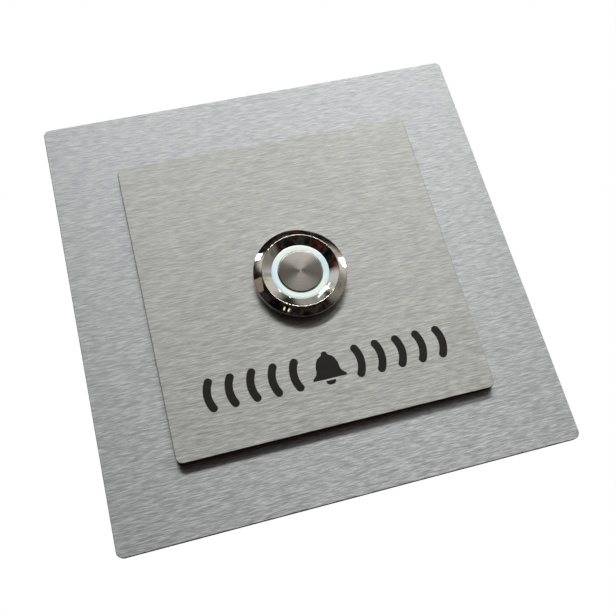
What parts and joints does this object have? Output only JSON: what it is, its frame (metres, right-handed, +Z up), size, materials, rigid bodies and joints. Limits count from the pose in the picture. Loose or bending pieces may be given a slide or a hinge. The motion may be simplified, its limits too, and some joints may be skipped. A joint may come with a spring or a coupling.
{
  "type": "doorbell push button",
  "caption": "Wall doorbell push: two stacked brushed steel squares with a polished round button and lit ring through the middle, nut and solder blades behind.",
  "frame": {"origin": "middle of the wall face, on the button's axis, in the rear plane of the foam frame", "axes": "+Y into the wall, -Y out of the front face, +Z up, +X to the right seen from the front"},
  "size_m": [0.1, 0.0297, 0.1],
  "materials": {
    "back_sheet": "brushed stainless, fine short grain along X",
    "front_sheet": "brushed stainless, fine short grain along X, slightly darker",
    "foam_tape": "closed-cell foam with adhesive on both faces",
    "polished_steel": "mirror-polished stainless",
    "spun_steel": "stainless with a circular spun grain",
    "milky_lens": "milky translucent moulding, lit white from behind",
    "seal_rubber": "black rubber",
    "nickel_plate": "nickel-plated brass",
    "black_moulding": "black glass-filled moulding",
    "board_laminate": "circuit board with a white mask",
    "lamp_chip": "moulded lamp chip",
    "spring_steel": "drawn spring wire",
    "silver_contact": "silver contact rivet",
    "tinned_brass": "tinned brass blade"
  },
  "bodies": {
    "panel": {"back_plate": "back_sheet", "front_plate": "front_sheet", "wall_gasket": "foam_tape", "button_housing": "polished_steel", "flange_seal": "seal_rubber", "mounting_nut": "nickel_plate", "halo_lens": "milky_lens", "led_board": "board_laminate", "led_resistor": "lamp_chip", "led_1": "lamp_chip", "led_2": "lamp_chip", "led_3": "lamp_chip", "led_4": "lamp_chip", "guide_sleeve": "black_moulding", "fixed_contact_left": "silver_contact", "fixed_contact_right": "silver_contact", "bell_terminal_left": "tinned_brass", "bell_terminal_right": "tinned_brass", "lamp_terminal_top": "tinned_brass", "lamp_terminal_bottom": "tinned_brass", "switch_base": "black_moulding", "base_clip": "spring_steel", "return_spring": "spring_steel", "lamp_spring_top": "spring_steel", "lamp_spring_bottom": "spring_steel"},
    "push_cap": {"actuator": "spun_steel", "plunger": "black_moulding", "plunger_seal": "seal_rubber", "contact_bridge": "tinned_brass", "bridge_contact_left": "silver_contact", "bridge_contact_right": "silver_contact"}
  },
  "joints": [
    {"name": "button_press", "type": "slide", "parent": "panel", "child": "push_cap", "axis": [0, 1, 0], "range_m": [0, 0.0015], "stiffness_N_per_m": 1350, "springref_m": -0.0011, "deforming": ["return_spring"]}
  ]
}
